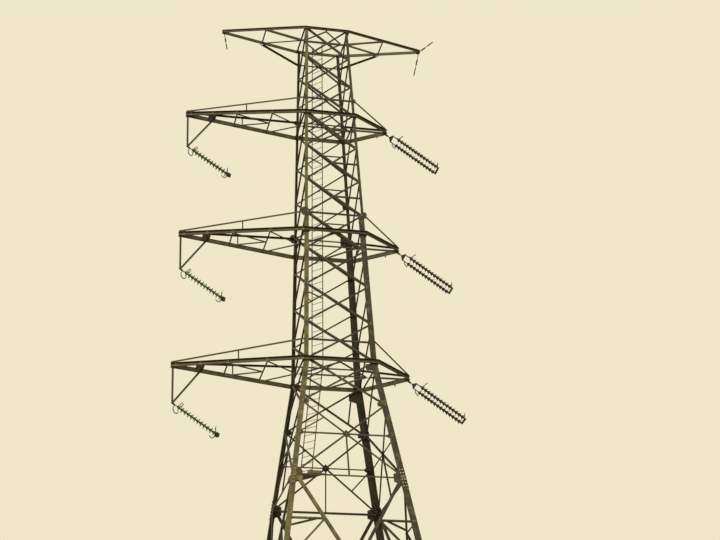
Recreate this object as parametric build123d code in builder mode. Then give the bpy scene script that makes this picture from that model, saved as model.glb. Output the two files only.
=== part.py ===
from build123d import *

import os
from math import cos, hypot, radians, sin

os.makedirs("parts", exist_ok=True)

# Lattice transmission pylon, in millimetres. X runs along the crossarms, Y along the line,
# Z up from the underside of the foot plates. The tower's axis is the Z axis.

# Levels of the body
foot_plate = 30
foot_node = 260
base_top = 9860
middle_node = 12970
waist = 14830
shoulder = 21300
upper_chord = 26110
head = 30430

# Half widths of the square body, to the outer corners of the legs
half_at_foot = 3580
half_at_waist = 1400
half_at_head = 910

# Panels of crossed bracing above the waist
panels_below_shoulder = 4
panels_above_shoulder = 3
panels_at_head = 3

# Leg angles: flange widths, and one thickness for all
leg_wall = 16
left_lower_leg = 180
right_lower_leg = 250
left_mid_leg = 150
right_mid_leg = 230
head_leg = 110

# Bracing angles
brace_wall = 8
light_brace = 50
thin_brace = 60
middle_brace = 70
heavy_brace = 90
base_brace = 120
upper_lip = 60
lower_lip = 80
seat_clearance = 5
node_gauge = 70
joint_plate = 170
base_plate = 230
node_plate = 140
tie_plate = 220
waist_plate_level = 14500
base_gauge = base_top + 210
upper_share = 0.51

# Foot plates and their anchor holes
foot_size = 640
anchor_spacing = 460
anchor_hole = 34

# Crossarms: level of the chord's middle, reach of the left and the right tip from the axis
chord_depth = 160
chord_lip = 65
chord_wall = 8
head_chord_depth = 120
head_chord_lip = 50
tip_gap = 22
crossarms = {
    "top": (head, 4350, 4350),
    "upper": (upper_chord, 5850, 2650),
    "middle": (20490, 6070, 2890),
    "lower": (waist, 6290, 3040),
}
tie_levels = {"upper": 26830, "middle": shoulder, "lower": 15640}
strut_near_body = 0.273
strut_near_tip = 0.57
tip_plate_place = 0.775
tie_post_place = 0.504
arm_strut = 60
arm_plate_width = 320
tie_width = 70
tie_wall = 8
tie_plate_wall = 10
tie_inset = 60
tie_overrun = 150
tie_plates = {"upper": (200, 200), "middle": (390, 300)}
post_width = 50
head_strut_place = 0.474
side_strut = 70
strut_wall = 8
tip_plate = 160
body_clearance = 90
hanger_width = 50
fit_gap = 0.3

# Tip brackets that carry the left insulators
bracket_drop = 1545
bracket_inset = 77
bracket_bar = 75
bracket_foot = 110

# Hangers, pins and clevises at the tips
hanger_wall = 21
hanger_radius = 38
hanger_drop = 45
clevis_gap = 2
clevis_wall = 10
pin_reach = 28

# Insulator strings
disc_pitch = 146
disc_radius = 127
disc_height = 60
disc_taper = 53
core_radius = 45
left_discs = 12
right_discs = 14
string_spread = 460
left_lean = 55
right_lean = 54
left_start = 250
yoke_place = 340
right_start = 560
stem_radius = 20
end_length = 130
clamp_length = 180
clamp_radius = 34
right_clamp_radius = 24
end_bar = 60
yoke_wall = 16
yoke_height = 110
yoke_margin = 45
yoke_nose = 40
clevis_half = 30
clevis_chamfer = 15
clevis_length = 110
bridge_length = 50
pin_radius = 12
pin_clearance = 1

# Fittings of the earth wires: place of the lug, then the run across and along the line
earth_wires = ((-4255, 270, 1090), (4290, 230, 1670), (4230, 440, -940))
lug_width = 50
lug_drop = 90
link_radius = 14
turnbuckle_radius = 32
wire_clamp_radius = 24

# Plan bracing of the base section: where it ends along each side
upper_hip_end = 1170
lower_hip_end = 1235

# Ladder in the front left corner
ladder_width = 500
ladder_inset = 617
ladder_head = 30000
ladder_clamps = (17600, 23800)
clamp_wall = 10
clamp_depth = 60
platform_notch = 550
platform_reach = 1250
platform_wall = 30
stile_width = 50
stile_wall = 10
rung_radius = 11
rung_pitch = 300


def half_width(z):
    """Half width of the body at a level, to the outer corners of the legs."""
    if z < waist:
        return half_at_foot + (half_at_waist - half_at_foot) * (z - foot_plate) / (waist - foot_plate)
    return half_at_waist + (half_at_head - half_at_waist) * (z - waist) / (head - waist)


lower_slope = (half_at_foot - half_at_waist) / (waist - foot_plate)
upper_slope = (half_at_waist - half_at_head) / (head - waist)


def even_levels(low, high, count):
    return [low + (high - low) * step / count for step in range(count + 1)]


panel_nodes = (
    even_levels(waist, shoulder, panels_below_shoulder)
    + even_levels(shoulder, upper_chord, panels_above_shoulder)[1:]
    + even_levels(upper_chord, head, panels_at_head)[1:]
)

corners = {"front_left": (-1, -1), "front_right": (1, -1), "back_left": (-1, 1), "back_right": (1, 1)}
sides = {"front": 0, "right": 90, "back": 180, "left": 270}


def angle_profile(corner, half, flange):
    """Corner points of an equal angle whose heel lies at the body's corner."""
    sx, sy = corner
    offsets = [
        (0, 0), (flange, 0), (flange, leg_wall),
        (leg_wall, leg_wall), (leg_wall, flange), (0, flange),
    ]
    return [(sx * (half - x), sy * (half - y)) for x, y in offsets]


def leg_direction(corner, slope):
    return Vector(-corner[0] * slope, -corner[1] * slope, 1).normalized()


for name, corner in corners.items():
    right = corner[0] > 0
    lower_flange = right_lower_leg if right else left_lower_leg
    mid_flange = right_mid_leg if right else left_mid_leg

    with BuildPart() as lower_leg:
        with BuildSketch(Plane.XY.offset(foot_plate)):
            Polygon(*angle_profile(corner, half_at_foot, lower_flange), align=None)
        lean = leg_direction(corner, lower_slope)
        extrude(amount=(waist - foot_plate) / lean.Z, dir=lean)
    lower_leg.part.label = f"leg_{name}_lower"
    export_step(lower_leg.part, f"parts/leg_{name}_lower.step")

    with BuildPart() as upper_leg:
        lean = leg_direction(corner, upper_slope)
        with BuildSketch(Plane.XY.offset(waist)):
            Polygon(*angle_profile(corner, half_at_waist, mid_flange), align=None)
        extrude(amount=(shoulder - waist) / lean.Z, dir=lean)
        with BuildSketch(Plane.XY.offset(shoulder)):
            Polygon(*angle_profile(corner, half_width(shoulder), head_leg), align=None)
        extrude(amount=(head + head_chord_depth / 2 - shoulder) / lean.Z, dir=lean)
    upper_leg.part.label = f"leg_{name}_upper"
    export_step(upper_leg.part, f"parts/leg_{name}_upper.step")

# Foot plates under the legs, each with four anchor holes
foot_centre = half_at_foot - left_lower_leg / 2
with BuildPart() as foot_plates:
    with BuildSketch():
        with GridLocations(2 * foot_centre, 2 * foot_centre, 2, 2):
            Rectangle(foot_size, foot_size)
            with GridLocations(anchor_spacing, anchor_spacing, 2, 2):
                Circle(anchor_hole / 2, mode=Mode.SUBTRACT)
    extrude(amount=foot_plate)
foot_plates.part.label = "foot_plates"
export_step(foot_plates.part, "parts/foot_plates.step")


def face_plane(turn, slope, level):
    """Inner surface of the leg flanges on one side, x level along the face, z outwards."""
    along = Vector(cos(radians(turn)), sin(radians(turn)), 0)
    outward = Vector(sin(radians(turn)), -cos(radians(turn)), 0)
    normal = (outward + Vector(0, 0, slope)).normalized()
    origin = outward * (half_width(level) - leg_wall) + Vector(0, 0, level)
    return Plane(origin=origin, x_dir=along, z_dir=normal)


def strip(start, end, width, shift=0):
    """Corners of a straight strip between two points, shifted to its right-hand side."""
    (x1, y1), (x2, y2) = start, end
    length = hypot(x2 - x1, y2 - y1)
    nx, ny = (y2 - y1) / length, -(x2 - x1) / length
    near, far = shift - width / 2, shift + width / 2
    return [
        (x1 + nx * near, y1 + ny * near), (x2 + nx * near, y2 + ny * near),
        (x2 + nx * far, y2 + ny * far), (x1 + nx * far, y1 + ny * far),
    ]


class Face:
    """One flat side of the body between two levels, in its own plane."""

    def __init__(self, turn, slope, low, high, lip, lip_edge):
        self.plane = face_plane(turn, slope, low)
        self.rise = hypot(1, slope)
        self.low = low
        self.lip = lip
        self.lip_edge = lip_edge
        inset = leg_wall + lip + seat_clearance
        self.outline = [
            (-half_width(low) + inset, 0), (half_width(low) - inset, 0),
            (half_width(high) - inset, (high - low) * self.rise),
            (-half_width(high) + inset, (high - low) * self.rise),
        ]

    def point(self, side, level):
        """Gauge point at a level: side -1 and 1 are the legs, and 0 is the middle."""
        return (side * (half_width(level) - node_gauge), (level - self.low) * self.rise)

    def crossing(self, low, high):
        """Level at which two straight diagonals between two levels cross."""
        a, b = half_width(low) - node_gauge, half_width(high) - node_gauge
        return low + (high - low) * a / (a + b)

    def cross(self, low, high, rising, falling):
        """The two diagonals of a panel, named as seen from outside."""
        return [
            (self.point(-1, low), self.point(1, high), rising),
            (self.point(-1, high), self.point(1, low), falling),
        ]

    def level_bar(self, level, start, end, width):
        (x1, y), (x2, _) = self.point(start, level), self.point(end, level)
        return (x1, y), (x2, y), width


def lozenge(centre, across, upright):
    """Joint plate with its corners on the level and the upright through its centre."""
    x, y = centre
    return [(x - across, y), (x, y - upright), (x + across, y), (x, y + upright)]


def leg_flange(side, hand):
    """Flange width, below the waist, of the leg at one end of a side."""
    right = {"front": hand > 0, "right": True, "back": hand < 0, "left": False}[side]
    return right_lower_leg if right else left_lower_leg


def leg_plate(face, hand, level, width, upright):
    """Joint plate behind a leg's flange, tapered to where it shows past the flange."""
    outer = hand * half_width(level)
    inner = outer - hand * width
    y = (level - face.low) * face.rise
    return [(outer, y - upright), (inner, y - upright / 2), (inner, y + upright / 2), (outer, y + upright)]


def build_lattice(face, bars, keep, plates=()):
    """Angles laid on the leg flanges: flat legs first, then the outstanding legs."""
    with BuildPart() as lattice:
        with BuildSketch(face.plane):
            for start, end, width in bars:
                Polygon(*strip(start, end, width), align=None)
            for plate in plates:
                Polygon(*plate, align=None)
            Polygon(*keep, align=None, mode=Mode.INTERSECT)
        extrude(amount=-brace_wall)
        with BuildSketch(face.plane):
            for start, end, width in bars:
                left, right = sorted((start, end))
                shift = (width - brace_wall) / 2 if face.lip_edge == "lower" else (brace_wall - width) / 2
                Polygon(*strip(left, right, brace_wall, shift), align=None)
            Polygon(*keep, align=None, mode=Mode.INTERSECT)
        extrude(amount=-face.lip)
    return lattice.part


def save(part, name):
    part.label = name
    export_step(part, f"parts/{name}.step")


# Bracing above the waist
for side, turn in sides.items():
    face = Face(turn, upper_slope, waist, head, upper_lip, "lower")
    across = side in ("front", "back")
    bars = []
    for low, high in zip(panel_nodes, panel_nodes[1:]):
        heavy = heavy_brace if across else thin_brace
        widths = (thin_brace, heavy) if side == "front" else (heavy, thin_brace)
        bars += face.cross(low, high, *widths)
    if across:
        tied = [tie_levels["middle"], face.crossing(*panel_nodes[-2:])]
        tied += [face.crossing(*panel_nodes[0:2]), face.crossing(*panel_nodes[7:9])]
        bars += [face.level_bar(level, -1, 1, thin_brace) for level in tied]
        outer = 1 if side == "front" else -1
        for low, high in zip(panel_nodes[4:7], panel_nodes[5:8]):
            level = face.crossing(low, high)
            bars.append(face.level_bar(level, 0, outer, thin_brace))
    save(build_lattice(face, bars, face.outline), f"bracing_{side}_upper")

# Bracing between the waist and the base section. Each redundant is named by the leg it starts
# from and by the diagonal it props, as seen from outside.
tie_top = base_top + heavy_brace + 15
cross_foot = base_top + 90
redundants = {"front": [(-1, "upper")], "right": [], "back": [(1, "upper"), (-1, "lower")], "left": []}
for side, turn in sides.items():
    lip_edge = "upper" if side in ("front", "left") else "lower"
    face = Face(turn, lower_slope, base_top, waist, upper_lip, lip_edge)
    heavy = heavy_brace if side in ("front", "back") else thin_brace
    widths = (middle_brace, heavy) if side == "front" else (heavy, middle_brace)
    tie_bar = thin_brace if side == "front" else heavy_brace
    tie_level = tie_top - tie_bar / 2 / face.rise
    middle = face.crossing(cross_foot, middle_node)
    bars = face.cross(middle_node, waist, *widths)
    bars += face.cross(cross_foot, middle_node, middle_brace, middle_brace)
    bars.append(face.level_bar(middle, -1, 1, middle_brace if side == "front" else light_brace))
    bars.append(face.level_bar(tie_level, -1, 1, tie_bar))
    centre = face.point(0, middle)
    bars.append((face.point(0, tie_level), centre, light_brace))
    for hand, diagonal in redundants[side]:
        end = face.point(hand, middle_node if diagonal == "upper" else cross_foot)
        midpoint = ((end[0] + centre[0]) / 2, (end[1] + centre[1]) / 2)
        bars.append((face.point(hand, middle), midpoint, light_brace))
    plates = [lozenge(centre, joint_plate, joint_plate)]
    for hand in (-1, 1):
        flange = leg_flange(side, hand)
        plates.append(leg_plate(face, hand, middle, flange + 70, 130))
        plates.append(leg_plate(face, hand, middle_node, flange + node_plate, 150))
        plates.append(leg_plate(face, hand, tie_level, flange + tie_plate, 320))
    if side == "back":
        flange = leg_flange(side, -1)
        plates.append(leg_plate(face, -1, waist_plate_level, flange + 270, 300))
        corner = (-half_width(waist_plate_level) + flange + 200, face.point(0, waist_plate_level - 150)[1])
        high, low = face.point(1, waist), face.point(-1, middle_node)
        spot = (high[0] + (low[0] - high[0]) * 0.76, high[1] + (low[1] - high[1]) * 0.76)
        bars.append((corner, spot, light_brace))
    save(build_lattice(face, bars, face.outline, plates), f"bracing_{side}_middle")

# Bracing of the base section, in halves that meet at the middle joint
for side, turn in sides.items():
    face = Face(turn, lower_slope, foot_plate, base_top, lower_lip, "lower")
    joint = face.crossing(foot_node, base_gauge)
    calf = foot_node + 0.68 * (joint - foot_node)
    centre = face.point(0, joint)
    for hand, half in ((-1, "left"), (1, "right")):
        top = face.point(hand, base_gauge)
        foot = face.point(hand, foot_node)
        knee = face.point(hand, joint)
        bars = [(top, centre, base_brace), (foot, centre, base_brace), (knee, centre, thin_brace)]
        for end, share, brace_to in ((top, upper_share, joint), (foot, 0.68, joint), (foot, 0.36, calf)):
            spot = (end[0] + (centre[0] - end[0]) * share, end[1] + (centre[1] - end[1]) * share)
            level = face.low + spot[1] / face.rise
            bars.append((face.point(hand, level), spot, thin_brace))
            bars.append((face.point(hand, brace_to), spot, thin_brace))
        edge = hand * fit_gap / 2
        lower, upper = sorted((x, y) for x, y in face.outline if x * hand > 0)[::-hand]
        keep = [(edge, lower[1]), lower, upper, (edge, upper[1])]
        flange = leg_flange(side, hand)
        plates = [
            lozenge(centre, base_plate, base_plate * 1.3),
            leg_plate(face, hand, joint, flange + 70, 170),
            leg_plate(face, hand, tie_top - heavy_brace / 2, flange + tie_plate, 320),
        ]
        save(build_lattice(face, bars, keep, plates), f"bracing_{side}_base_{half}")


def right_of(path, distance):
    """Points of a plan path moved to its right-hand side, with mitred corners."""
    corners_of_path = [Vector(*point) for point in path]
    headings = [(b - a).normalized() for a, b in zip(corners_of_path, corners_of_path[1:])]
    headings = [headings[0], *headings, headings[-1]]
    moved = []
    for corner, before, after in zip(corners_of_path, headings, headings[1:]):
        middle = (before + after).normalized()
        outward = Vector(middle.Y, -middle.X, 0)
        moved.append(corner + outward * (distance / middle.dot(before)))
    return [(point.X, point.Y) for point in moved]


def ribbon(path, width):
    return [*path, *right_of(path, width)[::-1]]


class Arm:
    """Plan of one crossarm: the inner faces of its chords and the points on them."""

    def __init__(self, level, left, right, depth):
        self.bottom = level - depth / 2
        self.top = level + depth / 2
        self.level = level
        self.half = half_width(self.bottom)
        self.beside = self.half + fit_gap
        self.bend = self.half + 30
        self.reach = {-1: left, 1: right}
        self.path = [
            (-left, -tip_gap / 2), (-self.bend, -self.beside),
            (self.bend, -self.beside), (right, -tip_gap / 2),
        ]

    def chord_point(self, hand, share):
        """Point on the front chord's inner face, from the body (0) to a tip (1)."""
        x = self.bend + share * (self.reach[hand] - self.bend)
        y = self.beside + share * (tip_gap / 2 - self.beside)
        return hand * x, -y


def both_ways(point):
    return (point[0], point[1]), (point[0], -point[1])


def plan_bars(arm, name):
    """Bars of one crossarm outside the body, each as two points and a width."""
    bars = []
    strut_line = arm.beside + side_strut / 2
    for hand in (-1, 1):
        bars.append(((hand * strut_line, -arm.beside), (hand * strut_line, arm.beside), side_strut))
        hub = (hand * (arm.beside + side_strut - 20), 0)
        tip = (hand * arm.reach[hand], 0)
        bars.append(((tip[0] - hand * tip_plate, 0), tip, 2 * tip_plate))
        if name == "top":
            struts = [(head_strut_place, arm_strut)]
        elif hand < 0:
            struts = [(strut_near_body, arm_strut), (strut_near_tip, arm_strut)]
            bars.append((*both_ways(arm.chord_point(hand, tip_plate_place)), arm_plate_width))
        else:
            struts = []
            bars.append((hub, tip, arm_strut))
        for place, width in struts:
            ends = both_ways(arm.chord_point(hand, place))
            bars.append((*ends, width))
            bars += [(hub, end, arm_strut) for end in ends]
            hub = (ends[0][0] + hand * arm_strut / 4, 0)
    return bars


def build_crossarm(arm, name, lip, wall):
    inside = [*arm.path, *[(x, -y) for x, y in arm.path[::-1]]]
    hollow = arm.half - body_clearance
    corner_points = [(-hollow, 0), (0, -hollow), (hollow, 0), (0, hollow)]
    diamond = list(zip(corner_points, corner_points[1:] + corner_points[:1]))
    crossbar = ((-arm.beside - side_strut / 2, 0), (arm.beside + side_strut / 2, 0))
    hangers = [((0, hand * (hollow - arm_strut)), (0, hand * arm.beside)) for hand in (-1, 1)]
    depth = arm.top - arm.bottom
    with BuildPart() as crossarm:
        with BuildSketch(Plane.XY.offset(arm.bottom)):
            Polygon(*ribbon(arm.path, chord_wall), align=None)
        extrude(amount=depth)
        with BuildSketch(Plane.XY.offset(arm.bottom), Plane.XY.offset(arm.top - chord_wall)):
            Polygon(*ribbon(arm.path, lip), align=None)
        extrude(amount=chord_wall)
        mirror(about=Plane.XZ)
        bars = plan_bars(arm, name)
        with BuildSketch(Plane.XY.offset(arm.bottom)):
            for start, end, width in bars:
                Polygon(*strip(start, end, width), align=None)
            Polygon(*inside, align=None, mode=Mode.INTERSECT)
        extrude(amount=wall)
        with BuildSketch(Plane.XY.offset(arm.bottom)):
            for start, end, width in bars:
                if width < tip_plate:
                    Polygon(*strip(start, end, wall, (width - wall) / 2), align=None)
            Polygon(*inside, align=None, mode=Mode.INTERSECT)
        extrude(amount=arm_strut)
        with BuildSketch(Plane.XY.offset(arm.bottom)):
            for start, end in diamond:
                Polygon(*strip(start, end, arm_strut), align=None)
            Rectangle(2 * hollow, 2 * hollow, mode=Mode.INTERSECT)
            for start, end in (crossbar, *hangers):
                Polygon(*strip(start, end, hanger_width), align=None)
        extrude(amount=wall)
        with BuildSketch(Plane.XY.offset(arm.bottom)):
            for start, end in (*diamond, crossbar):
                Polygon(*strip(start, end, wall), align=None)
            Rectangle(2 * hollow, 2 * hollow, mode=Mode.INTERSECT)
        extrude(amount=arm_strut)
        if name != "top":
            pin_x, pin_z = right_pin(arm)
            with BuildSketch(Plane.XZ):
                with Locations((pin_x, pin_z)):
                    RegularPolygon(radius=hanger_radius, side_count=8, major_radius=False)
                Polygon(
                    (pin_x - hanger_radius, pin_z), (pin_x + hanger_radius, pin_z),
                    (pin_x + hanger_radius, arm.bottom + wall), (pin_x - tip_plate, arm.bottom + wall),
                    align=None,
                )
            extrude(amount=hanger_wall / 2, both=True)
            with BuildSketch(Plane.XZ):
                with Locations((pin_x, pin_z)):
                    Circle(pin_radius)
            extrude(amount=pin_reach, both=True)
    return crossarm.part


def right_pin(arm):
    return arm.reach[1] - hanger_radius, arm.bottom - hanger_drop


def left_pin(arm):
    return -arm.reach[-1] + bracket_inset, arm.level - bracket_drop


# Crossarms
arms = {}
for name, (level, left, right) in crossarms.items():
    top_arm = name == "top"
    arms[name] = Arm(level, left, right, head_chord_depth if top_arm else chord_depth)
    crossarm = build_crossarm(arms[name], name, head_chord_lip if top_arm else chord_lip, strut_wall)
    save(crossarm, f"crossarm_{name}")


def angle_bar(start, end, flange, wall, overrun):
    """Angle between two points at the front: one leg upright outside, one on top."""
    start, end = Vector(*start), Vector(*end)
    heading = (end - start).normalized()
    outward = Vector(heading.Y, -heading.X, 0).normalized()
    if outward.Y > 0:
        outward = outward * -1
    plane = Plane(origin=start - heading * overrun, x_dir=outward, z_dir=heading)
    up = flange / 2 if plane.y_dir.Z > 0 else -flange / 2
    under = up - wall if up > 0 else up + wall
    profile = [
        (0, up), (flange, up), (flange, -up),
        (flange - wall, -up), (flange - wall, under), (0, under),
    ]
    with BuildPart() as bar:
        with BuildSketch(plane):
            Polygon(*profile, align=None)
        extrude(amount=(end - start).length + 2 * overrun)
    return bar.part


def body_side(hand, level, slope):
    """Plane just off a leg's outer side, facing away from the body."""
    spot = (hand * (half_width(level) + fit_gap), 0, level)
    return Plane(origin=spot, x_dir=(0, 1, 0), z_dir=(hand, 0, slope))


def build_tie(arm, level, hand, plate):
    """Front tie from a leg to a tip, with a post on the long side and a plate on the leg."""
    half = half_width(level)
    leg_end = Vector(hand * half, -half + tie_inset, level)
    tip_end = Vector(hand * (arm.reach[hand] - tie_width), -tip_gap / 2, arm.top + tie_width / 3)
    with BuildPart() as tie:
        add(angle_bar(leg_end, tip_end, tie_width, tie_wall, tie_overrun))
        if hand < 0:
            foot = leg_end + (tip_end - leg_end) * tie_post_place
            with BuildSketch(Plane.XY.offset(arm.bottom)):
                with Locations((foot.X, foot.Y - tie_width + tie_wall)):
                    Rectangle(post_width, tie_wall)
            extrude(amount=foot.Z - arm.bottom)
        split(bisect_by=body_side(hand, level, upper_slope), keep=Keep.TOP)
        split(bisect_by=Plane.XY.offset(arm.top + fit_gap), keep=Keep.TOP)
        split(bisect_by=Plane.XZ.offset(fit_gap / 2), keep=Keep.TOP)
        end_x = hand * (arm.reach[hand] - 10)
        split(bisect_by=Plane(origin=(end_x, 0, level), z_dir=(-hand, 0, 0)), keep=Keep.TOP)
        if plate:
            with BuildSketch(face_plane(0, upper_slope, level).offset(leg_wall + fit_gap)):
                with Locations((hand * half, 0)):
                    outline = Rectangle(0.8 * plate, plate)
                chamfer(outline.vertices(), plate / 5)
            extrude(amount=tie_plate_wall)
    return tie.part


# Ties of the three lower crossarms
for name, level in tie_levels.items():
    with BuildPart() as ties:
        for hand, plate in zip((-1, 1), tie_plates.get(name, (0, 0))):
            add(build_tie(arms[name], level, hand, plate))
        mirror(about=Plane.XZ)
    save(ties.part, f"ties_{name}")


def build_knee_brace(arm, level, hand):
    """Brace on the front face from a leg up to the top crossarm, on the side that hand gives."""
    half = half_width(level)
    chord_x, chord_y = arm.chord_point(hand, head_strut_place)
    leg_end = (hand * half, -half + tie_inset, level)
    arm_end = (chord_x, chord_y - head_chord_lip / 2, arm.bottom)
    with BuildPart() as brace:
        add(angle_bar(leg_end, arm_end, tie_width, tie_wall, tie_overrun))
        split(bisect_by=body_side(hand, level, upper_slope), keep=Keep.TOP)
        split(bisect_by=Plane.XY.offset(arm.bottom - fit_gap), keep=Keep.BOTTOM)
    return brace.part


# Knee braces from the legs to the top crossarm
knee_level = Face(0, upper_slope, waist, head, upper_lip, "lower").crossing(*panel_nodes[-2:])
with BuildPart() as knee_braces:
    for hand in (-1, 1):
        add(build_knee_brace(arms["top"], knee_level, hand))
    mirror(about=Plane.XZ)
save(knee_braces.part, "knee_braces")

# Brackets under the left tips, each with the pin that carries a string
with BuildPart() as tip_brackets:
    for name in tie_levels:
        arm = arms[name]
        pin_x, pin_z = left_pin(arm)
        plate_x = arm.chord_point(-1, tip_plate_place)[0] + bracket_foot
        seat = arm.bottom - fit_gap
        with BuildSketch(Plane.XZ):
            Polygon(*strip((pin_x, pin_z), (pin_x, seat), bracket_bar), align=None)
            Polygon(*strip((pin_x, pin_z), (plate_x, seat), bracket_bar), align=None)
            with Locations((pin_x, pin_z)):
                RegularPolygon(radius=hanger_radius, side_count=8, major_radius=False)
            with Locations(((pin_x + plate_x) / 2, (pin_z + seat) / 2 - bracket_bar)):
                Rectangle(4 * bracket_drop, seat - pin_z + 2 * bracket_bar, mode=Mode.INTERSECT)
        extrude(amount=hanger_wall / 2, both=True)
        with BuildSketch(Plane.XZ):
            with Locations((pin_x, pin_z)):
                Circle(pin_radius)
        extrude(amount=pin_reach, both=True)
save(tip_brackets.part, "tip_brackets")


def inner_corner(level, inset):
    """Plan point inside the front left corner, the same distance from both faces."""
    return Vector(inset - half_width(level), inset - half_width(level), level)


def ladder_line(level, shift):
    """Point of the ladder's plane at a level, shifted along its rungs."""
    return inner_corner(level, ladder_inset) + Vector(1, -1, 0).normalized() * shift


# Ladder up the front left corner, standing on a platform and clamped to the leg by two bows
platform_seat = tie_top - lower_slope * (brace_wall + seat_clearance) + fit_gap
ladder_foot = platform_seat + platform_wall + fit_gap
across = Vector(1, -1, 0).normalized()
towards = Vector(1, 1, 0).normalized()
ladder_stages = [(ladder_foot, waist, lower_slope), (waist, ladder_head, upper_slope)]
with BuildPart() as ladder:
    for low, high, slope in ladder_stages:
        rise = Vector(slope, slope, 1).normalized()
        with BuildSketch(Plane(origin=inner_corner(low, ladder_inset), x_dir=across, z_dir=(0, 0, 1))):
            with Locations((-ladder_width / 2, 0), (ladder_width / 2, 0)):
                Rectangle(stile_wall, stile_width)
        extrude(amount=(high - low) / rise.Z, dir=rise)
    rung_planes = []
    level = ladder_foot + rung_pitch
    while level < ladder_head - stile_width:
        spot = ladder_line(level, -ladder_width / 2)
        rung_planes.append(Plane(origin=spot, x_dir=(0, 0, 1), z_dir=across))
        level += rung_pitch
    with BuildSketch(*rung_planes):
        RegularPolygon(radius=rung_radius, side_count=6)
    extrude(amount=ladder_width)
    for level in ladder_clamps:
        half = half_width(level)
        start = ladder_line(level, -ladder_width / 2 - stile_wall / 2)
        end = ladder_line(level, ladder_width / 2 + stile_wall / 2)
        leg = fit_gap + clamp_wall
        bow = [
            (start.X, start.Y), (-half - leg, -half + 2 * head_leg), (-half - leg, -half - leg),
            (-half + 2 * head_leg, -half - leg), (end.X, end.Y),
        ]
        with BuildSketch(Plane.XY.offset(level)):
            Polygon(*ribbon(bow, -clamp_wall), align=None)
        extrude(amount=clamp_depth)
save(ladder.part, "ladder")

# Platform at the foot of the ladder, on the lips of the ties at the top of the base section
with BuildPart() as ladder_platform:
    edge = -half_width(platform_seat) + leg_wall + brace_wall + seat_clearance
    near, far = edge + platform_notch, edge + platform_reach
    with BuildSketch(Plane.XY.offset(platform_seat)):
        Polygon((edge, near), (near, edge), (far, edge), (edge, far), align=None)
    extrude(amount=platform_wall)
save(ladder_platform.part, "ladder_platform")


def set_axis(lean):
    """Direction of an insulator set from its pin, leaning out from the vertical."""
    return Vector(sin(radians(lean)), 0, -cos(radians(lean)))


def clevis(pin, heading):
    """Two cheeks round a pin, a bridge between them and a stem along the set."""
    side_view = Plane(origin=pin, x_dir=heading, z_dir=(0, -1, 0))
    inner = hanger_wall / 2 + clevis_gap
    outer = inner + clevis_wall
    with BuildPart() as piece:
        with BuildSketch(side_view.offset(inner), side_view.offset(-outer)):
            with Locations(((clevis_length - clevis_half) / 2, 0)):
                cheek = Rectangle(clevis_length + clevis_half, 2 * clevis_half)
            chamfer(cheek.vertices().group_by(Axis.X)[0], clevis_chamfer)
            Circle(pin_radius + pin_clearance, mode=Mode.SUBTRACT)
        extrude(amount=clevis_wall)
        with BuildSketch(side_view):
            with Locations((clevis_length - bridge_length / 2, 0)):
                Rectangle(bridge_length, 2 * clevis_half)
        extrude(amount=outer, both=True)
    return piece.part


def stem(pin, heading, start, end, radius, side=0):
    plane = Plane(origin=pin + heading * start + Vector(0, side, 0), x_dir=(0, 1, 0), z_dir=heading)
    with BuildPart() as piece:
        with BuildSketch(plane):
            RegularPolygon(radius=radius, side_count=8)
        extrude(amount=end - start)
    return piece.part


def disc_string(pin, heading, start, count, side=0):
    """One string: a core with tapered discs, wide side away from the arm."""
    hub = pin + Vector(0, side, 0)
    rims = [start + disc_pitch * (place + 0.75) for place in range(count)]
    with BuildPart() as string:
        add(stem(pin, heading, start, start + count * disc_pitch, core_radius, side))
        rim_planes = [Plane(origin=hub + heading * rim, x_dir=(0, 1, 0), z_dir=-heading) for rim in rims]
        with BuildSketch(*rim_planes):
            RegularPolygon(radius=disc_radius, side_count=8)
        extrude(amount=disc_height, taper=disc_taper)
    return string.part


def yoke(pin, heading, outline):
    """Flat plate across the line, drawn as (along the line, along the set) points."""
    plane = Plane(origin=pin, x_dir=(0, 1, 0), z_dir=(heading.Z, 0, -heading.X))
    with BuildPart() as plate:
        with BuildSketch(plane):
            Polygon(*outline, align=None)
        extrude(amount=yoke_wall / 2, both=True)
    return plate.part


def line_clamp(pin, heading, place, length, radius):
    """Clamp body at the far end of a set, lying along the line."""
    centre = pin + heading * place
    plane = Plane(origin=centre - Vector(0, length / 2, 0), x_dir=heading, z_dir=(0, 1, 0))
    with BuildPart() as body:
        with BuildSketch(plane):
            RegularPolygon(radius=radius, side_count=8)
        extrude(amount=length)
    return body.part


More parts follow.
